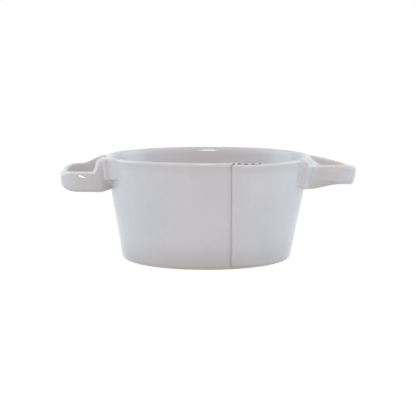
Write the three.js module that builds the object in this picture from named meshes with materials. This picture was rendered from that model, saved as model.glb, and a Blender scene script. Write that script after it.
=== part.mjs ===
// Slab-built stoneware bowl: a wall strip lapped on itself, a floor disc set inside its foot,
// two bent strap handles, and the coils of clay that are worked into the joints.
// Millimetres, +Z up. The front faces -Y and the handles lie along X. The origin is on the
// table, under the middle of the bowl.
import * as THREE from 'three';

const { clamp, lerp, smoothstep } = THREE.MathUtils;

// Bowl
const rimRadius = 80; // outside of the wall, carried up to the lip
const footRadius = 65.5; // outside of the wall, carried down to the table
const bowlHeight = 80;
const wallThickness = 5; // measured level
const lipRound = 2.4; // height over which the lip rounds off
const footRound = 2.6; // radius of the lower outside corner
const floorThickness = 5.5;
const floorCoilLeg = 7; // height and width of the coil in the inside corner

// Lapped seam of the wall
const seamOffset = 17; // the lap's outside edge lies this far right of the middle
const lapWidth = 28;
const lapStep = 1.2; // each end of the strip stands this far proud of the other

// Handle straps
const strapThickness = 5.8;
const strapEdge = 2; // rounding of the strap's long edges
const gripWidth = 30.6; // clear width inside the loop
const handleReach = 37.2; // from the wall to the outside of the grip
const gripCorner = 15.5; // outside radius where a strand turns into the grip
const footCrease = 2; // radius of the crease between a strand and its foot
const footHeel = 2; // radius of the foot's edge inside the loop
const rootHeight = 22.5; // the strap where it leaves the wall
const rootBelowLip = 3;
const sharpFlare = 5; // length over which an edge that turns up at the root gets there
const slowFlare = 23; // length over which any other edge runs into the root
const tipLength = 5.4; // the foot's tip, beyond the crease
const tipHeight = 15;
const gripLean = 0.3; // how much of the wall's slope is left at the grip, 1 is all of it

// How each handle was set by hand: the lift of the feet's tips from the middle of the root, and how
// far the strap's top edge lies below the root's top and its bottom edge above the root's bottom
const leftHandle = {
  side: 'left',
  turn: Math.PI,
  tipLift: 4,
  front: { topDrop: 8.9, bottomRise: -1.2 },
  grip: { topDrop: 8.3, bottomRise: 2.4 },
  rear: { topDrop: 5.7, bottomRise: 2.7 },
};
const rightHandle = {
  side: 'right',
  turn: 0,
  tipLift: 0.8,
  front: { topDrop: 5, bottomRise: 4.5 },
  grip: { topDrop: 5.9, bottomRise: 3 },
  rear: { topDrop: 4.6, bottomRise: 4.5 },
};

// Luting coils round the feet of the straps
const luteLeg = 3;

// Fit between neighbouring pieces of clay, and the blunt edge of a worked-in coil
const slipGap = 0.3;
const coilEdge = 0.6;

// Fineness of the curved surfaces, in steps
const wallSteps = 72;
const lapSteps = 8;
const edgeSteps = 6;
const coilSteps = 4;
const footSteps = 2;
const bendSteps = 6;
const flareSteps = 4;
const strandSteps = 4;
const cornerSteps = 6;
const gripSteps = 2;
const roundSteps = 2;

const fullTurn = 2 * Math.PI;
const quarterTurn = Math.PI / 2;

const glazed = (name, geometry) => {
  const glaze = new THREE.MeshStandardMaterial({ color: 0xc3c1c4, roughness: 0.18, metalness: 0 });
  const mesh = new THREE.Mesh(geometry, glaze);
  mesh.name = name;
  return mesh;
};

const plane = (x, y) => new THREE.Vector2(x, y);

// A closed surface through equal rings of points. With the flat sections of its first and last
// ring it is capped, and without them it closes on itself.
function loft(rings, endSections) {
  const count = rings[0].length;
  const faces = [];
  const spans = endSections ? rings.length - 1 : rings.length;
  for (let i = 0; i < spans; i++) {
    const here = i * count;
    const next = ((i + 1) % rings.length) * count;
    for (let j = 0; j < count; j++) {
      const k = (j + 1) % count;
      faces.push([here + j, here + k, next + k], [here + j, next + k, next + j]);
    }
  }
  if (endSections) {
    const last = (rings.length - 1) * count;
    const [startCap, endCap] = endSections.map((section) => THREE.ShapeUtils.triangulateShape(section, []));
    startCap.forEach(([a, b, c]) => faces.push([a, c, b]));
    endCap.forEach(([a, b, c]) => faces.push([last + a, last + b, last + c]));
  }
  const points = rings.flat();
  const sixfoldVolume = faces.reduce(
    (sum, [a, b, c]) => sum + points[a].dot(new THREE.Vector3().crossVectors(points[b], points[c])), 0);
  if (sixfoldVolume < 0) faces.forEach((face) => face.reverse());
  const geometry = new THREE.BufferGeometry().setFromPoints(points);
  geometry.setIndex(faces.flat());
  geometry.computeVertexNormals();
  return geometry;
}

// A hollow fillet in a corner, as [along one side, along the other]
function filletSection(leg) {
  const hollow = leg - coilEdge;
  const section = [plane(0, 0), plane(leg, 0)];
  for (let i = 0; i <= coilSteps; i++) {
    const angle = (quarterTurn * i) / coilSteps;
    section.push(plane(leg - hollow * Math.sin(angle), leg - hollow * Math.cos(angle)));
  }
  section.push(plane(0, leg));
  return section;
}

// The wall as a cone, with the seam standing upright in front

const wallRadius = (z) => lerp(footRadius, rimRadius, z / bowlHeight);
const lapAngle = lapWidth / wallRadius(bowlHeight / 2);

// A point at a turn round from the seam, a depth from the inside face and a height
function wallPoint(turn, depth, z) {
  const outside = wallRadius(z);
  const azimuth = turn + Math.asin(seamOffset / outside);
  const radius = outside - wallThickness + depth;
  return new THREE.Vector3(radius * Math.sin(azimuth), -radius * Math.cos(azimuth), z);
}

function lipHeight(depth) {
  const offCentre = clamp((2 * depth) / wallThickness - 1, -1, 1);
  return bowlHeight - lipRound * (1 - Math.sqrt(1 - offCentre ** 2));
}

function footHeight(depth) {
  const intoCorner = clamp((depth - wallThickness) / footRound + 1, 0, 1);
  return footRound * (1 - Math.sqrt(1 - intoCorner ** 2));
}

// How far the inner end of the lap stands into the bowl, at a share of the lap's width
const lapProud = (share) => lapStep * smoothstep(share, 0, 1);

// The inside and outside faces of the strip at a turn: skived to a tip at both ends of the lap
function slabFaces(turn) {
  const over = turn / lapAngle;
  const under = (turn - fullTurn) / lapAngle;
  if (over < 1) {
    return [wallThickness * (1 - over) + slipGap / 2, wallThickness + lapProud(1 - over)];
  }
  if (under > 0) {
    return [-lapProud(under), wallThickness * (1 - under) - slipGap / 2];
  }
  return [0, wallThickness];
}

// The strip's section at a turn, as [depth, height]
function slabSection(turn) {
  const [inside, outside] = slabFaces(turn);
  const bottom = [];
  const top = [];
  for (let i = 0; i <= edgeSteps; i++) {
    const share = (1 - Math.cos((Math.PI * i) / edgeSteps)) / 2;
    const depth = lerp(inside, outside, share);
    bottom.push(plane(depth, footHeight(depth)));
    top.unshift(plane(depth, lipHeight(depth)));
  }
  return [...bottom, ...top];
}

const steps = (from, to, count) => Array.from({ length: count }, (_, i) => lerp(from, to, i / count));
const lapTurns = steps(0, lapAngle, lapSteps);
const wallTurns = steps(lapAngle, fullTurn, wallSteps);

function wallSlab() {
  const underTurns = [...lapTurns, lapAngle].map((turn) => turn + fullTurn);
  const turns = [...lapTurns, ...wallTurns, ...underTurns];
  const sections = turns.map(slabSection);
  const rings = sections.map((section, i) => section.map(({ x, y }) => wallPoint(turns[i], x, y)));
  return loft(rings, [sections[0], sections.at(-1)]);
}

// The inside of the bowl all round, as [turn, how far the lap stands in]
const lapEnd = [lapAngle, lapStep];
const besideLap = [lapAngle + lapStep / rimRadius, 0];
const insideOutline = [
  ...lapTurns.map((turn) => [turn, lapProud(turn / lapAngle)]),
  lapEnd,
  besideLap,
  ...wallTurns.slice(1).map((turn) => [turn, 0]),
];

function floorDisc() {
  const rim = (z) => insideOutline.map(([turn, proud]) => wallPoint(turn, -proud - slipGap, z));
  const rings = [rim(0), rim(floorThickness)];
  return loft(rings, rings.map((ring) => ring.map(({ x, y }) => plane(x, y))));
}

function floorSeamCoil() {
  const section = filletSection(floorCoilLeg);
  const base = floorThickness + slipGap;
  const ring = ([turn, proud]) => section.map(({ x, y }) => wallPoint(turn, -proud - slipGap - x, base + y));
  return loft(insideOutline.map(ring));
}

// Handles, drawn on the +X side of the bowl and turned into place

const gripHalf = gripWidth / 2;
const strandOutside = gripHalf + strapThickness;
const strandMiddle = gripHalf + strapThickness / 2;
const footKnee = strandOutside + footCrease;
const footTip = footKnee + tipLength;
const rootCentre = bowlHeight - rootBelowLip - rootHeight / 2;

// A point at a distance out from the wall, a distance across the handle and a height
function handlePoint(out, across, z) {
  const lean = lerp(1, gripLean, smoothstep(out, 0, handleReach));
  const radius = wallRadius(lerp(rootCentre, z, lean));
  return new THREE.Vector3(Math.sqrt(radius ** 2 - across ** 2) + out, across, z);
}

// One face of the strap in plan, as [out, across]: along the foot, round into a strand, out along
// it and round the corner to the middle of the grip
function halfPlan(wallFace, strandFace, bend, corner, gripFace) {
  const bendCentre = plane(wallFace + bend, strandFace + bend);
  const cornerCentre = plane(gripFace - corner, strandFace - corner);
  const flareEnd = bendCentre.x + sharpFlare;
  const line = (...ends) => new THREE.LineCurve(plane(ends[0], ends[1]), plane(ends[2], ends[3]));
  const arc = (centre, radius, from, to) => (
    new THREE.EllipseCurve(centre.x, centre.y, radius, radius, from, to, to < from));
  const intoStrand = new THREE.CurvePath();
  intoStrand.add(line(wallFace, footKnee, wallFace, bendCentre.y));
  intoStrand.add(arc(bendCentre, bend, Math.PI, 3 * quarterTurn));
  const stretches = [
    [line(wallFace, footTip, wallFace, footKnee), footSteps],
    [intoStrand, bendSteps],
    [line(bendCentre.x, strandFace, flareEnd, strandFace), flareSteps],
    [line(flareEnd, strandFace, cornerCentre.x, strandFace), strandSteps],
    [arc(cornerCentre, corner, quarterTurn, 0), cornerSteps],
    [line(gripFace, cornerCentre.y, gripFace, 0), gripSteps],
  ];
  return stretches.flatMap(([curve, count], i) => curve.getSpacedPoints(count).slice(i ? 1 : 0));
}

// Stations of half a strap, from a foot's tip to the middle of the grip
function halfStrap({ tipLift, grip }, strand, topFlare) {
  const outsides = halfPlan(
    slipGap + strapThickness, strandOutside, footCrease, gripCorner, handleReach);
  const insides = halfPlan(
    slipGap, gripHalf, footHeel, gripCorner - strapThickness, handleReach - strapThickness);
  const flareStart = slipGap + footHeel;
  const tipCentre = rootCentre + tipLift;
  return outsides.map((outside, i) => {
    const inside = insides[i];
    const towardTip = clamp((inside.y - footKnee) / (footTip - footKnee), 0, 1);
    const towardGrip = 1 - smoothstep((outside.y + inside.y) / 2, 0, strandMiddle);
    const pastRoot = (length) => smoothstep(inside.x, flareStart, flareStart + length);
    const drop = lerp(strand.topDrop, grip.topDrop, towardGrip) * pastRoot(topFlare);
    const rise = lerp(strand.bottomRise, grip.bottomRise, towardGrip) * pastRoot(slowFlare);
    const top = lerp(rootCentre + rootHeight / 2, tipCentre + tipHeight / 2, towardTip) - drop;
    const bottom = lerp(rootCentre - rootHeight / 2, tipCentre - tipHeight / 2, towardTip) + rise;
    return { outside, inside, top, bottom };
  });
}

// The strap's section between its two faces, with rounded edges, as [depth, height] from its middle
function strapSection({ outside, inside, top, bottom }) {
  const halfDepth = outside.distanceTo(inside) / 2;
  const halfHeight = (top - bottom) / 2;
  const section = [];
  [[1, 1], [-1, 1], [-1, -1], [1, -1]].forEach(([signX, signY], corner) => {
    for (let i = 0; i <= roundSteps; i++) {
      const angle = quarterTurn * (corner + i / roundSteps);
      const x = signX * (halfDepth - strapEdge) + strapEdge * Math.cos(angle);
      const y = signY * (halfHeight - strapEdge) + strapEdge * Math.sin(angle);
      section.push(plane(x, y));
    }
  });
  return section;
}

// One ring of points round the strap, on the side of the handle that side gives
function strapRing(station, side) {
  const { outside, inside, top, bottom } = station;
  const depth = outside.distanceTo(inside);
  return strapSection(station).map(({ x, y }) => {
    const at = inside.clone().lerp(outside, x / depth + 1 / 2);
    return handlePoint(at.x, side * at.y, (top + bottom) / 2 + y);
  });
}

function handleStrap(frontHalf, rearHalf, frontSide) {
  const front = frontHalf.map((station) => strapRing(station, frontSide));
  const rear = rearHalf.map((station) => strapRing(station, -frontSide));
  const rings = [...front, ...rear.slice(0, -1).reverse()];
  return loft(rings, [strapSection(frontHalf[0]), strapSection(rearHalf[0])]);
}

// The coil round the inner side, the bottom and the tip of one foot, open at the top
function lutingCoil(half, side) {
  const firstClear = half.findIndex(({ inside }) => inside.x > slipGap + luteLeg);
  const besideWall = half.slice(0, firstClear + 1);
  const lowest = Math.min(...besideWall.map(({ bottom }) => bottom));
  const highest = Math.min(...besideWall.map(({ top }) => top)) - strapEdge;

  // Corners of the foot on the wall, as [across, height]
  const heel = plane(gripHalf, lowest);
  const knee = plane(footKnee, lowest);
  const toe = plane(footTip, half[0].bottom);

  // Stations along the coil: a place on the foot and the way that the coil faces there
  const down = 3 * quarterTurn;
  const slope = down + Math.atan2(toe.y - knee.y, toe.x - knee.x);
  const path = [[plane(heel.x, highest), Math.PI]];
  const turnAt = (place, from, to) => {
    for (let i = 0; i <= coilSteps; i++) path.push([place, lerp(from, to, i / coilSteps)]);
  };
  turnAt(heel, Math.PI, down);
  path.push([heel.clone().lerp(knee, 1 / 2), down]);
  turnAt(knee, down, slope);
  turnAt(toe, slope, fullTurn);
  path.push([plane(toe.x, highest), fullTurn]);

  const section = filletSection(luteLeg);
  const rings = path.map(([place, facing]) => section.map(({ x, y }) => {
    const across = place.x + (slipGap + x) * Math.cos(facing);
    const z = place.y + (slipGap + x) * Math.sin(facing);
    return handlePoint(slipGap + y, side * across, z);
  }));
  return loft(rings, [section, section]);
}

function handle(setting) {
  const { side, turn, front, rear } = setting;
  const frontSide = -Math.round(Math.cos(turn)); // the front faces -Y once the handle is turned
  const frontHalf = halfStrap(setting, front, sharpFlare);
  const rearHalf = halfStrap(setting, rear, slowFlare);
  const group = new THREE.Group();
  group.add(glazed(`${side}_handle_strap`, handleStrap(frontHalf, rearHalf, frontSide)));
  group.add(glazed(`${side}_front_luting_coil`, lutingCoil(frontHalf, frontSide)));
  group.add(glazed(`${side}_rear_luting_coil`, lutingCoil(rearHalf, -frontSide)));
  group.rotation.z = turn;
  return group;
}

const bowl = new THREE.Group();
bowl.add(glazed('wall_slab', wallSlab()));
bowl.add(glazed('floor_disc', floorDisc()));
bowl.add(glazed('floor_seam_coil', floorSeamCoil()));
bowl.add(handle(leftHandle));
bowl.add(handle(rightHandle));

export default bowl;
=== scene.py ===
"""Looks of a slab-built stoneware bowl with two strap handles, under one pale grey glaze.

The clay is worked as a potter works it: the wall is a flat strip that is wrapped and lapped, the
handles are straps that are bent and luted on. Metres, +Z up, the front faces -Y.
"""
import math

import bmesh
import bpy
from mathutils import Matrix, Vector, noise


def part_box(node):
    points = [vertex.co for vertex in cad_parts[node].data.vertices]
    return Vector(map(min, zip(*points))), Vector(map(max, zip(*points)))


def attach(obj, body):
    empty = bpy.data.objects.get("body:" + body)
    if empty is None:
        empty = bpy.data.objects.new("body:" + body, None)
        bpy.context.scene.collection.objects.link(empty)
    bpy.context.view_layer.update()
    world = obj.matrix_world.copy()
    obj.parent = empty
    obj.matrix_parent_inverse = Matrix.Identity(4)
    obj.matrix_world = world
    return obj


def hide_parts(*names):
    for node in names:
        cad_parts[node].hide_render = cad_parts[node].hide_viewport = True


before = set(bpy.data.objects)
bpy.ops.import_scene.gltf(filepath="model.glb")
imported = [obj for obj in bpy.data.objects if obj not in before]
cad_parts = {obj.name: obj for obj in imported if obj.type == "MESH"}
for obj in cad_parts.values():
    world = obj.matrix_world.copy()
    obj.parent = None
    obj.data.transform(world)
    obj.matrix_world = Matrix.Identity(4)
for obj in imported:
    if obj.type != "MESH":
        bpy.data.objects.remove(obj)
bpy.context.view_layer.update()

MM = 0.001
FULL_TURN = 2 * math.pi
QUARTER_TURN = math.pi / 2

# Bowl
RIM_RADIUS = 80 * MM
FOOT_RADIUS = 65.5 * MM
BOWL_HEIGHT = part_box("wall_slab")[1].z
FLOOR_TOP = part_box("floor_disc")[1].z
WALL = 5 * MM
LIP_ROUND = 2.4 * MM
LIP_ROUND_INSIDE = 4.6 * MM
LIP_BAND = 1.5 * LIP_ROUND
LIP_BACK_RISE = 0.5 * MM
BACK_RISE_POWER = 4
LIP_GROOVE = 0.3 * MM
LIP_GROOVE_BELOW = 3.4 * MM
LIP_GROOVE_WIDTH = 1.6 * MM
FOOT_ROUND = 2.6 * MM
FLOOR_FILLET = 9 * MM
FLOOR_RECESS = 0.8 * MM
FOOT_LEAN = -1.3 * MM

# Lapped seam of the wall, with stretches of the lap as shares of its width
SEAM_OFFSET = 17 * MM
SEAM_DIP = 0.35 * MM
SEAM_DIP_WIDTH = 2.4 * MM
LAP_WIDTH = 28 * MM
LAP_STEP = 1.2 * MM
LAP_NOSE = 2.6 * MM
LAP_NOSE_EDGE = 0.15
LAP_CREST = 1.7 * MM
LAP_LIFT = 0.8 * MM
LAP_LIFT_START = 0.15
LAP_LIFT_END = 0.25
JOINT_DELAY = 1.3
CREVICE_DEPTH = 0.45 * MM
CREVICE_WIDTH = 0.5 * MM

# Sag of the lip past the seam, with its stretches in radians
LIP_SAG = 1.4 * MM
SAG_START = 0.13
SAG_HOLD = 0.3
SAG_END = 1.4

# Handle straps
STRAP = 5.8 * MM
GRIP_HALF = 15.3 * MM
GRIP_CORNER = 15.5 * MM
FOOT_DEPTH = 5.8 * MM
FOOT_HEEL = 1 * MM
SUNK_IN_WALL = 1.2 * MM
ROOT_HEIGHT = 22.5 * MM
ROOT_BELOW_LIP = 3 * MM
LEAN_RUN = 8 * MM
INNER_EDGE = 1.4 * MM
OUTER_BEVEL = 4.1 * MM
TOP_BEVEL = 2.4 * MM
GRIP_TOP_EDGE = 4.5 * MM
LOWER_EDGE = 2.7 * MM
BOTTOM_EDGE = 4 * MM
TIP_EDGE = 1.3 * MM
CREASE_SHARE = 0.3
CREASE_WIDTH = 0.6
DENT_WIDTH = 2 * MM

# The two handles as they were set by hand, each with a front strand, a grip and a rear strand.
# A foot runs along the wall from its tip to its knee, and over a plateau to the crease with its strand.
# Each strand sets how strongly glints are painted near its top, how far its edges wear and are painted
# lighter, and the front one how strongly a highlight is painted low near the wall.
LEFT_HANDLE = {
    "side": -1,
    "reach": 37.2 * MM,
    "lean": 0.3,
    "crease": 4.8 * MM,
    "plateau": 0,
    "knee_depth": 6.2 * MM,
    "tip_length": 5 * MM,
    "tip_depth": 7.4 * MM,
    "tip_start": 5 * MM,
    "tip_height": 14 * MM,
    "tip_lift": 6.4 * MM,
    "tip_bottom_width": 6.5 * MM,
    "smear_past_tip": 9 * MM,
    "front": {
        "root_lift": 1.5 * MM, "top_drop": 8.6 * MM, "fall_start": 8.6 * MM, "fall_run": 5.4 * MM,
        "root_drop": -2 * MM, "bottom_rise": -3.8 * MM, "bottom_start": -3 * MM, "bottom_run": 10 * MM,
        "stepped": True, "slope_bevel": 0.4 * MM,
        "smear_up": 1.2 * MM, "smear_down": 0.4 * MM, "press_high": 1.5 * MM, "press_low": 5 * MM,
        "paring": 4.5 * MM, "paring_height": 9.5 * MM, "paring_start": 7 * MM, "paring_end": 12 * MM,
        "dent": 1.32 * MM, "dent_at": 23.2 * MM, "dent_below": 1.7 * MM,
        "dent_length": 8 * MM, "dent_tilt": 0.28,
        "painted_glints": 0.6, "thin_and_highlight_above": 1, "painted_highlight_below": 0},
    "grip": {"top_drop": 8.4 * MM, "bottom_rise": 3 * MM},
    "rear": {
        "root_lift": 1.2 * MM, "top_drop": 4.8 * MM, "fall_start": 5.5 * MM, "fall_run": 18.5 * MM,
        "root_drop": 0, "bottom_rise": 3.5 * MM, "bottom_start": 0, "bottom_run": 24 * MM,
        "stepped": False, "root_round": 6 * MM, "round_run": 18 * MM,
        "smear_up": 0, "smear_down": 1.6 * MM,
        "painted_glints": 0.5, "thin_and_highlight_above": 0.5},
}
RIGHT_HANDLE = {
    "side": 1,
    "reach": 37.5 * MM,
    "lean": 0.9,
    "crease": 5 * MM,
    "plateau": 7.5 * MM,
    "knee_depth": 5.8 * MM,
    "tip_length": 2.5 * MM,
    "tip_depth": 3.4 * MM,
    "tip_start": 15 * MM,
    "tip_height": 15.5 * MM,
    "tip_lift": 1.2 * MM,
    "tip_bottom_width": 2.7 * MM,
    "smear_past_tip": 3 * MM,
    "front": {
        "root_lift": 0, "top_drop": 3.4 * MM, "fall_start": 3 * MM, "fall_run": 7 * MM,
        "root_drop": -0.3 * MM, "bottom_rise": 3.7 * MM, "bottom_start": 3 * MM, "bottom_run": 25 * MM,
        "stepped": False, "slope_bevel": 3 * MM,
        "smear_up": 2.6 * MM, "smear_down": 0.2 * MM, "press_high": 0, "press_low": 0,
        "paring": 3.6 * MM, "paring_height": 7.6 * MM, "paring_start": 11 * MM, "paring_end": 29 * MM,
        "dent": 0.7 * MM, "dent_at": 19 * MM, "dent_below": 2.2 * MM,
        "dent_length": 9 * MM, "dent_tilt": 0,
        "painted_glints": 0.6, "thin_and_highlight_above": 0.8, "painted_highlight_below": 0.75},
    "grip": {"top_drop": 5.2 * MM, "bottom_rise": 1.9 * MM},
    "rear": {
        "root_lift": 2.5 * MM, "top_drop": 9.5 * MM, "fall_start": -10 * MM, "fall_run": 70 * MM,
        "root_drop": 0, "bottom_rise": 4.5 * MM, "bottom_start": 0, "bottom_run": 24 * MM,
        "stepped": False, "root_round": 7 * MM, "round_run": 46 * MM,
        "smear_up": 0, "smear_down": 1.6 * MM,
        "painted_glints": 0.68, "thin_and_highlight_above": 0.4},
}

# Soft clay smeared from the feet of the straps on to the wall
SMEAR_RISE = 3 * MM
SMEAR_TIP_RISE = 1.9 * MM
SMEAR_INTO_LOOP = 2.2 * MM

# Unevenness of work done by hand
HAND_WAVE = 45 * MM
HAND_SWAY = 0.25 * MM
HAND_SEED = 5
SPONGE_STROKES = 4
SPONGE_PRESS = 0.5

# Fineness of the meshes: cuts along, through and up the clay
WALL_CUTS = (319, 11, 31)
STRAP_CUTS = (239, 15, 41)
CUTS_GATHERED = 0.9
FLOOR_CUTS = 16
FILLET_STEPS = 12
SPIN_STEPS = 144
MERGE_DISTANCE = 0.001 * MM

# Shares of a half strap's cuts in its foot, the bend, the strand, the corner and the grip
STRETCHES = (0.12, 0.2, 0.28, 0.3, 0.1)

STRAND_OUTSIDE = GRIP_HALF + STRAP
STRAND_MIDDLE = GRIP_HALF + STRAP / 2
ROOT_CENTRE = BOWL_HEIGHT - ROOT_BELOW_LIP - ROOT_HEIGHT / 2

noise.seed_set(HAND_SEED)


def lerp(start, end, share):
    return start + (end - start) * share


def clamp(value, low=0.0, high=1.0):
    return max(low, min(high, value))


def ease(share):
    share = clamp(share)
    return share * share * (3 - 2 * share)


def bell(distance, width):
    return math.exp(-(distance / width) ** 2)


def quarter_round(share):
    """Height of a quarter circle over its base, from 0 at the start to 1."""
    return math.sqrt(1 - (1 - clamp(share)) ** 2)


# Glaze and clay


class Reading:
    """A value in a finish, for use in Python expressions."""

    def __init__(self, finish, socket):
        self.finish = finish
        self.socket = socket

    def maths(self, operation, first, second):
        return self.finish.node("ShaderNodeMath", {"operation": operation}, {0: first, 1: second})

    def __add__(self, other):
        return self.maths("ADD", self, other)

    def __sub__(self, other):
        return self.maths("SUBTRACT", self, other)

    def __rsub__(self, other):
        return self.maths("SUBTRACT", other, self)

    def __mul__(self, other):
        return self.maths("MULTIPLY", self, other)

    __radd__ = __add__
    __rmul__ = __mul__


# Radians through which a wave node's bands turn in a metre, at a scale of 1
WAVE_RATE = 20


class Finish:
    """The node tree of one material, or of the world."""

    def __init__(self, owner):
        owner.use_nodes = True
        self.tree = owner.node_tree
        self.tree.nodes.clear()

    def node(self, kind, settings, inputs, output=0):
        made = self.tree.nodes.new(kind)
        for name, value in settings.items():
            setattr(made, name, value)
        for name, value in inputs.items():
            if isinstance(value, Reading):
                self.tree.links.new(value.socket, made.inputs[name])
            else:
                made.inputs[name].default_value = value
        if made.outputs:
            return Reading(self, made.outputs[output])
        return None

    def attribute(self, name):
        """A value that is kept on the vertices of a piece."""
        return self.node("ShaderNodeAttribute", {"attribute_name": name}, {}, "Fac")

    def noise(self, place, size, detail):
        """Soft noise from 0 to 1, with spots of about this size."""
        inputs = {"Vector": place, "Scale": 1 / size, "Detail": detail}
        return self.node("ShaderNodeTexNoise", {}, inputs)

    def waves(self, place, length, back, uneven):
        """Waves from 0 to 1 along X, of this length and moved back by a share of it."""
        inputs = {
            "Vector": place, "Scale": FULL_TURN / WAVE_RATE / length,
            "Phase Offset": FULL_TURN * back, "Distortion": uneven}
        return self.node("ShaderNodeTexWave", {}, inputs, 1)

    def step(self, value, low, high):
        """0 below low, 1 above high and a soft change between them."""
        settings = {"interpolation_type": "SMOOTHSTEP"}
        inputs = {"Value": value, "From Min": low, "From Max": high}
        return self.node("ShaderNodeMapRange", settings, inputs)

    def blend(self, share, first, second):
        """A colour between two others."""
        return self.node("ShaderNodeMix", {"data_type": "RGBA"}, {0: share, 6: first, 7: second}, 2)


def srgb(red, green, blue):
    """A colour from its 0 to 255 screen values."""
    def linear(value):
        value /= 255
        return value / 12.92 if value <= 0.04045 else ((value + 0.055) / 1.055) ** 2.4
    return (linear(red), linear(green), linear(blue), 1)


GLAZE_COLOUR = srgb(205, 202, 204)
GLAZE_POOLED = srgb(199, 197, 201)
# Painted shade colour: the glaze darkened where shade falls
SHADE_COLOUR = srgb(188, 183, 184)
# Worn edges of the glaze, and painted highlights and glints, in one lighter warm colour
THIN_GLAZE_AND_HIGHLIGHT = srgb(230, 222, 214)
CLAY_COLOUR = srgb(222, 207, 192)
PIT_COLOUR = srgb(128, 121, 118)
GLAZE_ROUGHNESS = 0.13
ROUGHNESS_SPREAD = 0.06
CLAY_ROUGHNESS = 0.8
GLAZE_IOR = 1.52

# Unevenness of the glaze: the size of its spots, and how many times they are broken up
DRIFT = (40 * MM, 2)
MOTTLE = (3 * MM, 3)
GRAIN = (1.1 * MM, 2)
DRIFT_IN_POOLS = 0.7
POOLS_FROM, POOLS_TO = 0.35, 0.65

# Where the glaze wears on edges, where highlights and glints are painted lighter, and where it stops above
# the table
THIN_IN_WEAR_AND_HIGHLIGHTS, MOTTLE_IN_WEAR_AND_HIGHLIGHTS, GRAIN_IN_WEAR_AND_HIGHLIGHTS = 0.8, 0.3, 0.6
WEAR_AND_HIGHLIGHT_FROM, WEAR_AND_HIGHLIGHT_TO = 0.8, 1.2
WEAR_AND_HIGHLIGHT_SHOWN = 0.75
GLAZE_LINE = 1.3 * MM
THIN_ON_LIP = 0.3
# The lap's crest is lighter: partly thinner glaze, partly a painted highlight
THIN_AND_HIGHLIGHT_ON_CREST = 0.6
# Reach from the wall of the highlight painted low on the front strand
HIGHLIGHT_BELOW_RUN = 16 * MM
FOOT_COVERED = 0.7
# How far below the top edge the painted glints reach
GLINTS_BELOW_TOP = 6 * MM

# Painted shade: darker inside the bowl, in a band under the lip, towards the foot, over the handles and in
# the pressed crease
SHADE_INSIDE = 0.35
SHADE_UNDER_LIP = 0.5
SHADE_BELOW_LIP = 4.6 * MM
SHADE_BAND_WIDTH = 2.8 * MM
SHADE_ON_HANDLE = 0.25
SHADE_UP_FROM_FOOT = 24 * MM
SHADE_FULL_AT_PRESS = 5 * MM

# Row of pits in the crevice of the lap
SLOT_EVERY = 4.8 * MM
SLOT_SHIFT = 0.68
SLOT_UNEVEN = 2
CREVICE_IN_PITS, SLOTS_IN_PITS, GRAIN_IN_PITS = 0.6, 0.5, 0.3
PITS_FROM, PITS_TO = 0.95, 1.05

# Fine relief of the surface
RELIEF_HEIGHT = 1 * MM
RELIEF_SHOWN = 0.25
DRIFT_RELIEF = 0.7
MOTTLE_RELIEF = 0.12
CLAY_RELIEF = 0.3
PIT_RELIEF = 0.5


def pale_grey_glaze():
    material = bpy.data.materials.new("pale_grey_glaze")
    finish = Finish(material)
    place = finish.node("ShaderNodeTexCoord", {}, {}, "Object")
    height = finish.node("ShaderNodeSeparateXYZ", {}, {"Vector": place}, "Z")
    thin_and_highlights = finish.attribute("thin_glaze_and_highlights")
    shade = finish.attribute("painted_shade")
    crevice = finish.attribute("lap_crevice")

    drift = finish.noise(place, *DRIFT)
    mottle = finish.noise(place, *MOTTLE)
    grain = finish.noise(place, *GRAIN)
    slots = finish.waves(place, SLOT_EVERY, SLOT_SHIFT, SLOT_UNEVEN)
    pools = finish.step(
        drift * DRIFT_IN_POOLS + mottle * (1 - DRIFT_IN_POOLS), POOLS_FROM, POOLS_TO)
    # Worn edges together with painted highlights and glints
    wear_and_highlights = finish.step(
        thin_and_highlights * THIN_IN_WEAR_AND_HIGHLIGHTS + mottle * MOTTLE_IN_WEAR_AND_HIGHLIGHTS + grain * GRAIN_IN_WEAR_AND_HIGHLIGHTS, WEAR_AND_HIGHLIGHT_FROM, WEAR_AND_HIGHLIGHT_TO)
    pits = finish.step(
        crevice * CREVICE_IN_PITS + slots * SLOTS_IN_PITS + grain * GRAIN_IN_PITS, PITS_FROM, PITS_TO)
    bare = 1 - finish.step(height + mottle * GLAZE_LINE, GLAZE_LINE, 2 * GLAZE_LINE)

    colour = finish.blend(pools, GLAZE_COLOUR, GLAZE_POOLED)
    # Painted shade inside the bowl, under the lip, towards the foot and on the handles
    colour = finish.blend(shade, colour, SHADE_COLOUR)
    colour = finish.blend(wear_and_highlights * WEAR_AND_HIGHLIGHT_SHOWN, colour, THIN_GLAZE_AND_HIGHLIGHT)
    colour = finish.blend(bare, colour, CLAY_COLOUR)
    colour = finish.blend(pits, colour, PIT_COLOUR)
    dull = bare * (CLAY_ROUGHNESS - GLAZE_ROUGHNESS)
    roughness = dull + mottle * ROUGHNESS_SPREAD + (GLAZE_ROUGHNESS - ROUGHNESS_SPREAD / 2)
    relief = drift * DRIFT_RELIEF + mottle * MOTTLE_RELIEF + bare * grain * CLAY_RELIEF - pits * PIT_RELIEF
    bump = finish.node(
        "ShaderNodeBump", {}, {"Height": relief, "Strength": RELIEF_SHOWN, "Distance": RELIEF_HEIGHT})
    inputs = {"Base Color": colour, "Roughness": roughness, "Normal": bump, "IOR": GLAZE_IOR}
    surface = finish.node("ShaderNodeBsdfPrincipled", {}, inputs)
    finish.node("ShaderNodeOutputMaterial", {}, {"Surface": surface})
    return material


# Working the clay


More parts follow.
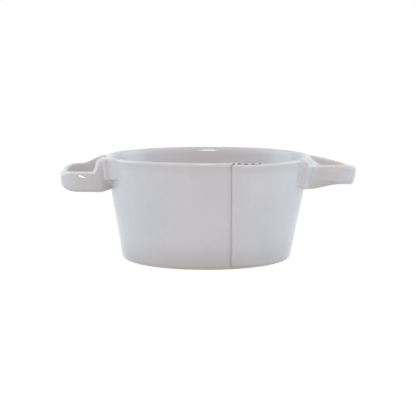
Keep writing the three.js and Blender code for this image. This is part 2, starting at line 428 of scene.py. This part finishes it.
def clay_block(cuts):
    """A block of clay from 0 to 1 each way, cut evenly along X, Y and Z."""
    block = bmesh.new()
    bmesh.ops.create_cube(block, size=1)
    bmesh.ops.translate(block, verts=block.verts, vec=(0.5, 0.5, 0.5))
    for axis, count in enumerate(cuts):
        along = [edge for edge in block.edges if edge.verts[0].co[axis] != edge.verts[1].co[axis]]
        bmesh.ops.subdivide_edges(block, edges=along, cuts=count, use_grid_fill=True)
    return block


def gathered(share):
    """Moves even cuts closer together towards both ends."""
    return share - CUTS_GATHERED * math.sin(FULL_TURN * share) / FULL_TURN


def crowded(share):
    """Moves even cuts as on a half circle."""
    return (1 - math.cos(math.pi * share)) / 2


def foot_lean(z):
    """How far the bowl leans sideways at a height: its foot isn't quite under its lip."""
    return FOOT_LEAN * (1 - z / BOWL_HEIGHT)


def by_hand(point):
    """Sways a point a little, as clay that is shaped by hand, but leaves it on the table."""
    sway = noise.noise_vector(point / HAND_WAVE) * HAND_SWAY
    sway.z *= clamp(point.z / HAND_WAVE)
    return point + sway + Vector((foot_lean(point.z), 0, 0))


def fire(clay, name, glaze, *nodes):
    """Turns worked clay into a finished piece that stands for nodes of the frame."""
    bmesh.ops.recalc_face_normals(clay, faces=clay.faces)
    for face in clay.faces:
        face.smooth = True
    mesh = bpy.data.meshes.new(name)
    clay.to_mesh(mesh)
    clay.free()
    mesh.materials.append(glaze)
    piece = bpy.data.objects.new(name, mesh)
    bpy.context.scene.collection.objects.link(piece)
    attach(piece, "root")
    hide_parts(*nodes)
    return piece


# The wall: a strip that is wrapped into a cone and lapped on itself


def wall_radius(z):
    """Radius of the outside of the wall at a height."""
    return lerp(FOOT_RADIUS, RIM_RADIUS, z / BOWL_HEIGHT)


LAP_ANGLE = LAP_WIDTH / wall_radius(BOWL_HEIGHT / 2)


def nose(distance):
    """Rounds the tip of the strip, over a distance from its end."""
    return lerp(LAP_NOSE_EDGE, 1, quarter_round(distance / LAP_NOSE))


def outer_end(over):
    """How far the strip's outer end stands out, at a share of the lap from the seam."""
    return LAP_STEP * ease(1 - over) * nose(over * LAP_WIDTH)


def inner_end(over):
    """How far the strip's inner end stands into the bowl, at a share of the lap from the seam."""
    return LAP_STEP * ease(over) * nose((1 - over) * LAP_WIDTH)


def seam_dip(turn):
    """The hollow that is pressed beside the seam when the lap is closed."""
    return SEAM_DIP * bell((turn - FULL_TURN) * RIM_RADIUS, SEAM_DIP_WIDTH)


def joint(share):
    """Depth of the joint between the two ends of the strip, at a share of the lap from the seam."""
    return WALL * (1 - (2 * share ** JOINT_DELAY - 1) ** 3) / 2


def strip_faces(turn):
    """Depth of the strip's inside and outside faces, at a turn from its outer end."""
    over = turn / LAP_ANGLE
    under = (turn - FULL_TURN) / LAP_ANGLE
    if over < 1:
        return joint(over), WALL + outer_end(over)
    if under > 0:
        return -inner_end(under), joint(under) - seam_dip(turn)
    return 0, WALL - seam_dip(turn)


def lap_share(turn):
    """Share of the lap at a turn, or None outside it."""
    share = (turn % FULL_TURN) / LAP_ANGLE
    return share if share <= 1 else None


def lip_top(turn):
    """Height of the crest of the lip, which sags past the seam and rises to the back."""
    past_seam = turn % FULL_TURN
    sag = ease(past_seam / SAG_START) * (1 - ease((past_seam - SAG_HOLD) / (SAG_END - SAG_HOLD)))
    toward_back = (1 - math.cos(turn)) / 2
    return BOWL_HEIGHT - LIP_SAG * sag + LIP_BACK_RISE * toward_back ** BACK_RISE_POWER


def lip_height(turn, depth):
    """Height of the rounded lip, with the crevice between the two ends of the strip."""
    low, high = 0, WALL
    crevice = 0
    share = lap_share(turn)
    if share is not None:
        low, high = -inner_end(share), WALL + outer_end(share)
        crevice = CREVICE_DEPTH * bell(depth - joint(share), CREVICE_WIDTH)
        if turn > FULL_TURN:
            crevice -= LAP_LIFT * ease(share / LAP_LIFT_START) * ease((1 - share) / LAP_LIFT_END)
    off_centre = clamp(2 * (depth - low) / (high - low) - 1, -1, 1)
    fall = LIP_ROUND if off_centre > 0 else LIP_ROUND_INSIDE
    return lip_top(turn) - fall * (1 - math.sqrt(1 - off_centre ** 2)) - crevice


def foot_height(depth):
    """Height of the rounded foot of the wall, at a depth from its inside."""
    return FOOT_ROUND * (1 - quarter_round((WALL - depth) / FOOT_ROUND))


def wall_point(turn, depth, z):
    outside = wall_radius(z)
    azimuth = turn + math.asin((SEAM_OFFSET - foot_lean(z)) / outside)
    radius = outside - WALL + depth
    return Vector((radius * math.sin(azimuth), -radius * math.cos(azimuth), z))


def glazed_wall(glaze):
    strip = clay_block(WALL_CUTS)
    thin_and_highlights = strip.verts.layers.float.new("thin_glaze_and_highlights")
    shade = strip.verts.layers.float.new("painted_shade")
    crevice = strip.verts.layers.float.new("lap_crevice")
    for vert in strip.verts:
        turn = gathered(vert.co.x) * (FULL_TURN + LAP_ANGLE)
        outward = crowded(vert.co.y)
        depth = lerp(*strip_faces(turn), outward)
        z = lerp(foot_height(depth), lip_height(turn, depth), gathered(vert.co.z))
        below_lip = lip_top(turn) - z
        near_lip = ease(1 - below_lip / LIP_BAND)
        share = lap_share(turn)
        if share is not None:
            vert[crevice] = near_lip * bell(depth - joint(share), 2 * CREVICE_WIDTH)
        # The lap's crest and the lip are lighter: worn glaze, and on the crest a painted highlight too
        crest = bell(turn * RIM_RADIUS - LAP_CREST, LAP_CREST / 2)
        vert[thin_and_highlights] = max(near_lip * THIN_ON_LIP, crest * THIN_AND_HIGHLIGHT_ON_CREST)
        # Painted shade: a band under the lip, darker towards the foot outside and all over the inside
        under_lip_shade = SHADE_UNDER_LIP * bell(below_lip - SHADE_BELOW_LIP, SHADE_BAND_WIDTH)
        vert[shade] = lerp(SHADE_INSIDE, max(under_lip_shade, ease(1 - z / SHADE_UP_FROM_FOOT)), outward)
        depth -= outward * LIP_GROOVE * bell(below_lip - LIP_GROOVE_BELOW, LIP_GROOVE_WIDTH)
        vert.co = by_hand(wall_point(turn, depth, z))
    return fire(strip, "glazed_wall", glaze, "wall_slab")


# The floor, with the coil in its corner smoothed into the wall


def floor_outline():
    """Half of the floor's section, from the middle of its top round to the middle of its underside."""
    slope = math.atan2(RIM_RADIUS - FOOT_RADIUS, BOWL_HEIGHT)
    inside = wall_radius(FLOOR_TOP) - WALL
    sweep = QUARTER_TURN - slope
    reach = FLOOR_FILLET * math.tan(sweep / 2)
    centre = Vector((inside - reach, 0, FLOOR_TOP + FLOOR_FILLET))
    outline = [Vector((0, 0, FLOOR_TOP))]
    for step in range(FILLET_STEPS + 1):
        angle = sweep * step / FILLET_STEPS
        out = Vector((math.sin(angle), 0, -math.cos(angle)))
        outline.append(centre + out * FLOOR_FILLET)
    hidden = wall_radius(FLOOR_TOP) - WALL / 2
    outline.append(Vector((hidden, 0, outline[-1].z)))
    outline.append(Vector((hidden, 0, FLOOR_RECESS)))
    outline.append(Vector((0, 0, FLOOR_RECESS)))
    return outline


def glazed_floor(glaze):
    disc = bmesh.new()
    verts = [disc.verts.new(point) for point in floor_outline()]
    edges = [disc.edges.new(pair) for pair in zip(verts, verts[1:])]
    bmesh.ops.subdivide_edges(disc, edges=[edges[0], edges[-1]], cuts=FLOOR_CUTS)
    bmesh.ops.spin(
        disc, geom=disc.verts[:] + disc.edges[:], cent=(0, 0, 0), axis=(0, 0, 1),
        angle=FULL_TURN, steps=SPIN_STEPS, use_merge=True)
    bmesh.ops.remove_doubles(disc, verts=disc.verts, dist=MERGE_DISTANCE)
    shade = disc.verts.layers.float.new("painted_shade")
    for vert in disc.verts:
        # Painted shade over the inside of the bowl
        vert[shade] = SHADE_INSIDE
        vert.co = by_hand(vert.co)
    return fire(disc, "glazed_floor", glaze, "floor_disc", "floor_seam_coil")


# Handles, laid out in plan as a distance out from the wall and one across from the handle's middle


def handle_point(setting, out, across, z):
    lean = lerp(1, setting["lean"], ease(out / LEAN_RUN))
    radius = wall_radius(lerp(ROOT_CENTRE, z, lean))
    return Vector((setting["side"] * (math.sqrt(radius ** 2 - across ** 2) + out), across, z))


def strap_plans(setting):
    """The inside and the outside face of a strap in plan, from the tip of a foot to the grip."""
    knee = STRAND_OUTSIDE + setting["crease"] + setting["plateau"]
    foot_tip = knee + setting["tip_length"]
    inside = {
        "foot_tip": foot_tip, "tip": -SUNK_IN_WALL,
        "knee": knee, "knee_out": -SUNK_IN_WALL,
        "foot": -SUNK_IN_WALL, "bend": FOOT_HEEL,
        "strand": GRIP_HALF, "corner": GRIP_CORNER - STRAP, "grip": setting["reach"] - STRAP}
    outside = {
        "foot_tip": foot_tip, "tip": setting["tip_depth"],
        "knee": knee, "knee_out": setting["knee_depth"],
        "foot": FOOT_DEPTH, "bend": setting["crease"],
        "strand": STRAND_OUTSIDE, "corner": GRIP_CORNER, "grip": setting["reach"]}
    return inside, outside


def stretch_at(share):
    """The stretch of a half strap and the share of it, at a share of the half from the tip."""
    for stretch, part in enumerate(STRETCHES):
        if share <= part:
            return stretch, share / part
        share -= part
    return len(STRETCHES) - 1, 1


def strap_face(plan, stretch, share):
    """A place on one face of the strap in plan, as (out, across)."""
    foot, knee, strand, bend = plan["foot"], plan["knee"], plan["strand"], plan["bend"]
    if stretch == 0:
        return Vector((lerp(plan["tip"], plan["knee_out"], share), lerp(plan["foot_tip"], knee, share)))
    if stretch == 1:
        straight = knee - strand - bend
        along = share * (straight + bend * QUARTER_TURN)
        if along < straight:
            return Vector((lerp(plan["knee_out"], foot, along / straight), knee - along))
        angle = (along - straight) / bend
        turned = Vector((1 - math.cos(angle), 1 - math.sin(angle)))
        return Vector((foot, strand)) + turned * bend
    corner, grip = plan["corner"], plan["grip"]
    if stretch == 2:
        return Vector((lerp(foot + bend, grip - corner, share), strand))
    if stretch == 3:
        angle = share * QUARTER_TURN
        turned = Vector((1 - math.sin(angle), 1 - math.cos(angle)))
        return Vector((grip, strand)) - turned * corner
    return Vector((grip, (strand - corner) * (1 - share)))


class StrapSpot:
    """A place along a strap, what the potter's knife, thumbs and glaze did to it there, and the highlights
    and glints painted on it.
    """

    def __init__(self, setting, plans, along):
        self.setting = setting
        self.in_front = along < 0.5
        self.strand = setting["front" if self.in_front else "rear"]
        stretch, share = stretch_at(1 - abs(2 * along - 1))
        self.inside, self.outside = [strap_face(plan, stretch, share) for plan in plans]
        tip_length = setting["tip_length"]
        past_knee = self.inside.y - plans[0]["knee"]
        self.from_tip = share * tip_length if stretch == 0 else tip_length
        self.toward_tip = clamp(past_knee / tip_length)
        self.into_tip = ease(past_knee / setting["tip_start"] + 1)
        self.toward_grip = 1 - ease((self.inside.y + self.outside.y) / 2 / STRAND_MIDDLE)
        self.on_foot = ease(1 - (self.outside.x - FOOT_DEPTH) / setting["crease"])
        self.clear_of_wall = ease(self.inside.x / INNER_EDGE)

    def down_slope(self, out):
        """Share of the slope of the top edge, at a distance out from the wall."""
        return (out - self.strand["fall_start"]) / self.strand["fall_run"]

    def on_slope(self, out):
        """1 in the middle of the slope of the top edge, fading to both sides."""
        return bell(2 * self.down_slope(out) - 1, 1)

    def edges(self, out):
        """Height of the strap's bottom and top edges, at a distance out from the wall."""
        setting, strand, grip = self.setting, self.strand, self.setting["grip"]
        drop = lerp(strand["top_drop"] + strand["root_lift"], grip["top_drop"], self.toward_grip)
        rise = lerp(strand["bottom_rise"], grip["bottom_rise"], self.toward_grip)
        root_top = ROOT_CENTRE + ROOT_HEIGHT / 2 + strand["root_lift"] * (1 - self.toward_grip)
        root_bottom = ROOT_CENTRE - ROOT_HEIGHT / 2 - strand["root_drop"] * (1 - self.toward_grip)
        tip_centre = ROOT_CENTRE + setting["tip_lift"]
        top = lerp(root_top, tip_centre + setting["tip_height"] / 2, self.toward_tip)
        bottom = lerp(root_bottom, tip_centre - setting["tip_height"] / 2, self.into_tip)
        fall = ease(self.down_slope(out))
        if strand["stepped"]:
            fall = quarter_round(fall)
        top -= drop * lerp(fall, 1, self.toward_grip)
        bottom += rise * ease((out - strand["bottom_start"]) / strand["bottom_run"])
        return bottom, top

    def top_rounding(self, out, depth):
        """Width and height of the inner and of the outer top edge, which slope away from the loop."""
        strand = self.strand
        if self.in_front:
            slope_bevel = strand["slope_bevel"] * self.on_slope(out)
            inner_round = INNER_EDGE
        else:
            slope_bevel = 0
            inner_round = lerp(INNER_EDGE, strand["root_round"], ease(1 - out / strand["round_run"]))
        bevel = lerp(TOP_BEVEL, GRIP_TOP_EDGE, ease(2 * self.toward_grip))
        outer_width = lerp(OUTER_BEVEL, INNER_EDGE, self.on_foot) + slope_bevel
        outer_height = lerp(bevel, INNER_EDGE, self.on_foot) + slope_bevel
        inner_width = min(inner_round, depth - outer_width) * self.clear_of_wall
        return (inner_width, inner_round), (outer_width, outer_height)

    def bottom_rounding(self, depth):
        """Width and height of the inner and of the outer bottom edge."""
        outer_width = lerp(LOWER_EDGE, self.setting["tip_bottom_width"], self.toward_tip)
        return (LOWER_EDGE * self.clear_of_wall, BOTTOM_EDGE), (min(outer_width, depth), BOTTOM_EDGE)

    def pared(self, above_bottom):
        """How deep the lower outside edge of the front strand is pared away."""
        if not self.in_front:
            return 0
        strand, out = self.strand, self.outside.x
        start, end = strand["paring_start"], strand["paring_end"]
        fade = clamp((end - out) / (end - start))
        height = strand["paring_height"] * fade
        if max(above_bottom, 0) >= height:
            return 0
        depth = strand["paring"] * ease(out / start) * ease(2 * fade) * (1 - above_bottom / height)
        return depth * (1 - self.into_tip)

    def dented(self, below_top):
        """How deep a thumb dented the outside of the front strand."""
        if not self.in_front:
            return 0
        strand = self.strand
        along = self.outside.x - strand["dent_at"]
        down = below_top - strand["dent_below"] + along * strand["dent_tilt"]
        fade = 1 - ease(2 * abs(along) / strand["dent_length"] - 1)
        return strand["dent"] * fade * bell(down, DENT_WIDTH)

    def pressed(self, upward):
        """How deep the crease between the front foot and its strand is pressed in."""
        if not self.in_front:
            return 0
        crease = self.setting["crease"]
        middle = Vector((FOOT_DEPTH, STRAND_OUTSIDE)) + Vector((crease, crease)) * CREASE_SHARE
        depth = lerp(self.strand["press_low"], self.strand["press_high"], (1 + upward) / 2)
        return depth * bell((self.outside - middle).length, crease * CREASE_WIDTH)

    def thin_and_highlight_above(self, out, below_top, nearness):
        """How the glaze wears on the upper half's edges, with highlights painted there too, and where
        glints are painted in speckles below the top.
        """
        strand = self.strand
        # Painted glints, speckled below the top edge of the front slope and of the rear strand
        glint_share = self.on_slope(out) if self.in_front else 1 - self.toward_grip
        painted_glints = strand["painted_glints"] * glint_share * ease(1 - below_top / GLINTS_BELOW_TOP)
        on_strand = (1 - self.toward_grip) * (1 - FOOT_COVERED * self.on_foot)
        return max(strand["thin_and_highlight_above"] * on_strand * nearness, painted_glints)

    def painted_highlight_below(self, off_wall, upward):
        """How strongly a highlight is painted on the lower half, near the wall in front."""
        if not self.in_front:
            return 0
        return self.strand["painted_highlight_below"] * ease(-2 * upward - 1) * ease(1 - off_wall / HIGHLIGHT_BELOW_RUN)


def soften(x, y, depth, half_height, inner_edge, outer_edge):
    """Rounds the long edges of the strap, each with a width and a height.

    Returns the place and how near it is to an edge.
    """
    width, height = outer_edge
    beyond = max(x - depth + width, 0)
    if not beyond:
        width, height = inner_edge
        beyond = min(x - width, 0)
    over = abs(y) - half_height + height
    if not beyond or over <= 0:
        return x, y, 0
    off = Vector((beyond / width, over / height))
    nearness = 2 * min(abs(off.x), off.y) / (abs(off.x) + off.y)
    if off.length > 1:
        off.normalize()
    x += off.x * width - beyond
    y -= math.copysign(over - off.y * height, y)
    return x, y, nearness


def smeared(off_wall, rise, reach, power):
    """How far the clay of a foot is smeared over the wall, at a distance off it."""
    return reach * clamp(1 - off_wall / rise) ** power


def glazed_handle(name, setting, glaze, *nodes):
    strap = clay_block(STRAP_CUTS)
    thin_and_highlights = strap.verts.layers.float.new("thin_glaze_and_highlights")
    shade = strap.verts.layers.float.new("painted_shade")
    plans = strap_plans(setting)
    foot_tip = plans[0]["foot_tip"]
    foot_middle = (foot_tip + GRIP_HALF) / 2
    foot_half = (foot_tip - GRIP_HALF) / 2
    for vert in strap.verts:
        spot = StrapSpot(setting, plans, vert.co.x)
        outward = crowded(vert.co.y)
        out = lerp(spot.inside.x, spot.outside.x, outward)
        bottom, top = spot.edges(out)

        # Round the tip of the foot, but not its side on the wall
        inset = TIP_EDGE * (1 - quarter_round(spot.from_tip / TIP_EDGE))
        depth = (spot.outside - spot.inside).length - inset
        half_height = (top - bottom) / 2 - inset
        x = outward * depth
        y = (2 * crowded(vert.co.z) - 1) * half_height

        # Round the long edges, then pare, dent and press the outside
        edges = spot.top_rounding(out, depth) if y > 0 else spot.bottom_rounding(depth)
        x, y, nearness = soften(x, y, depth, half_height, *edges)
        upward = y / half_height
        press = spot.pressed(upward)
        cut = spot.pared(half_height + y) + spot.dented(half_height - y) + press
        x *= 1 - cut / depth

        # Smear the foot over the wall, and let the bottom edge follow its place
        place = spot.inside + (spot.outside - spot.inside).normalized() * x
        off_wall = max(place.x, 0)
        toward_end = clamp((place.y - foot_middle) / foot_half, -1, 1)
        if toward_end > 0:
            place.y += toward_end * smeared(off_wall, SMEAR_TIP_RISE, setting["smear_past_tip"], 1)
        else:
            place.y += toward_end * smeared(off_wall, SMEAR_RISE, SMEAR_INTO_LOOP, 2)
        z = (top + bottom) / 2 + y
        if upward > 0:
            z += upward * smeared(off_wall, SMEAR_RISE, spot.strand["smear_up"], 1)
        else:
            moved_bottom = spot.edges(place.x)[0]
            z += upward * smeared(off_wall, SMEAR_RISE, spot.strand["smear_down"], 1)
            z -= upward * (moved_bottom - bottom)

        across = -place.y if spot.in_front else place.y
        vert.co = by_hand(handle_point(setting, place.x, across, z))
        # Painted shade over the handle, deepest in the pressed crease
        vert[shade] = max(SHADE_ON_HANDLE, clamp(press / SHADE_FULL_AT_PRESS))
        # Worn edges with painted highlights and glints above, a painted highlight below
        if y > 0:
            vert[thin_and_highlights] = spot.thin_and_highlight_above(out, half_height - y, nearness)
        else:
            vert[thin_and_highlights] = spot.painted_highlight_below(off_wall, upward)
    for _ in range(SPONGE_STROKES):
        bmesh.ops.smooth_vert(
            strap, verts=strap.verts, factor=SPONGE_PRESS,
            use_axis_x=True, use_axis_y=True, use_axis_z=True)
    return fire(strap, name, glaze, *nodes)


glaze = pale_grey_glaze()
glazed_wall(glaze)
glazed_floor(glaze)
glazed_handle(
    "left_glazed_handle", LEFT_HANDLE, glaze,
    "left_handle_strap", "left_front_luting_coil", "left_rear_luting_coil")
glazed_handle(
    "right_glazed_handle", RIGHT_HANDLE, glaze,
    "right_handle_strap", "right_front_luting_coil", "right_rear_luting_coil")

# Table and room
WHITE = (1, 1, 1, 1)
TABLE_SIZE = 12
TABLE_COLOUR = (0.76, 0.76, 0.76, 1)
TABLE_WHITE = 0.92
TABLE_GLOW = 1.035
ROOM_LIGHT = (0.655, 0.6, 0.563, 1)
SIDE_LIGHT = (1.82, 2.5, 2.95, 1)

# Lamps
WARM_LIGHT = (1, 0.935, 0.9)
COOL_LIGHT = (0.74, 0.91, 1)
KEY_PLACE = (0, -1, 1.1)
KEY_SIZE = (0.42, 0.2)
KEY_POWER = 5
SIDE_OUT, SIDE_BACK, SIDE_UP = 1.1, 0.4, 0.5
SIDE_SIZE = (1, 1.1)
SIDE_POWER = 4

# Camera
PHOTO_SIDE = 416
FOCAL_PIXELS = 1222
SENSOR = 36
CAMERA_PLACE = (0, -0.95, 0.1567)
CAMERA_TARGET = (0, 0, 0.038)


def seen_directly(finish):
    """1 where a camera, a mirror or a glass sees the surface, 0 where it only lights other things."""
    camera_ray, glossy_ray, glass_ray = [
        finish.node("ShaderNodeLightPath", {}, {}, name)
        for name in ("Is Camera Ray", "Is Glossy Ray", "Is Transmission Ray")]
    return finish.node("ShaderNodeClamp", {}, {"Value": camera_ray + glossy_ray + glass_ray})


def white_table():
    material = bpy.data.materials.new("white_table")
    finish = Finish(material)
    paint = finish.node("ShaderNodeBsdfDiffuse", {}, {"Color": TABLE_COLOUR})
    white = finish.node("ShaderNodeEmission", {}, {"Color": WHITE, "Strength": TABLE_GLOW})
    seen = seen_directly(finish) * TABLE_WHITE
    surface = finish.node("ShaderNodeMixShader", {}, {0: seen, 1: paint, 2: white})
    finish.node("ShaderNodeOutputMaterial", {}, {"Surface": surface})
    top = bmesh.new()
    bmesh.ops.create_grid(top, x_segments=1, y_segments=1, size=TABLE_SIZE / 2)
    mesh = bpy.data.meshes.new("table")
    top.to_mesh(mesh)
    top.free()
    mesh.materials.append(material)
    table = bpy.data.objects.new("table", mesh)
    bpy.context.scene.collection.objects.link(table)


def white_room():
    """A room that is seen as white and gives more light, and cooler, from both sides."""
    world = bpy.data.worlds.new("white_room")
    bpy.context.scene.world = world
    finish = Finish(world)
    direction = finish.node("ShaderNodeTexCoord", {}, {}, "Generated")
    sideways = finish.node("ShaderNodeSeparateXYZ", {}, {"Vector": direction}, "X")
    squared = sideways * sideways
    around = finish.blend(squared * squared * squared, ROOM_LIGHT, SIDE_LIGHT)
    colour = finish.blend(seen_directly(finish), around, WHITE)
    light = finish.node("ShaderNodeBackground", {}, {"Color": colour, "Strength": 1})
    finish.node("ShaderNodeOutputWorld", {}, {"Surface": light})


def aim(thing, place, target):
    thing.location = place
    thing.rotation_mode = "QUATERNION"
    thing.rotation_quaternion = (Vector(target) - Vector(place)).to_track_quat("-Z", "Y")


def softbox(name, place, size, power, colour):
    lamp = bpy.data.lights.new(name, "AREA")
    lamp.shape = "RECTANGLE"
    lamp.size, lamp.size_y = size
    lamp.energy = power
    lamp.color = colour
    box = bpy.data.objects.new(name, lamp)
    bpy.context.scene.collection.objects.link(box)
    aim(box, place, (0, 0, BOWL_HEIGHT / 2))


def camera():
    lens = bpy.data.cameras.new("camera")
    lens.sensor_width = SENSOR
    lens.lens = FOCAL_PIXELS / PHOTO_SIDE * SENSOR
    view = bpy.data.objects.new("camera", lens)
    bpy.context.scene.collection.objects.link(view)
    aim(view, CAMERA_PLACE, CAMERA_TARGET)
    bpy.context.scene.camera = view


white_table()
white_room()
softbox("key_softbox", KEY_PLACE, KEY_SIZE, KEY_POWER, WARM_LIGHT)
for side, name in ((-1, "left"), (1, "right")):
    softbox(f"{name}_softbox", (side * SIDE_OUT, SIDE_BACK, SIDE_UP), SIDE_SIZE, SIDE_POWER, COOL_LIGHT)
camera()
bpy.context.scene.view_settings.view_transform = "Standard"
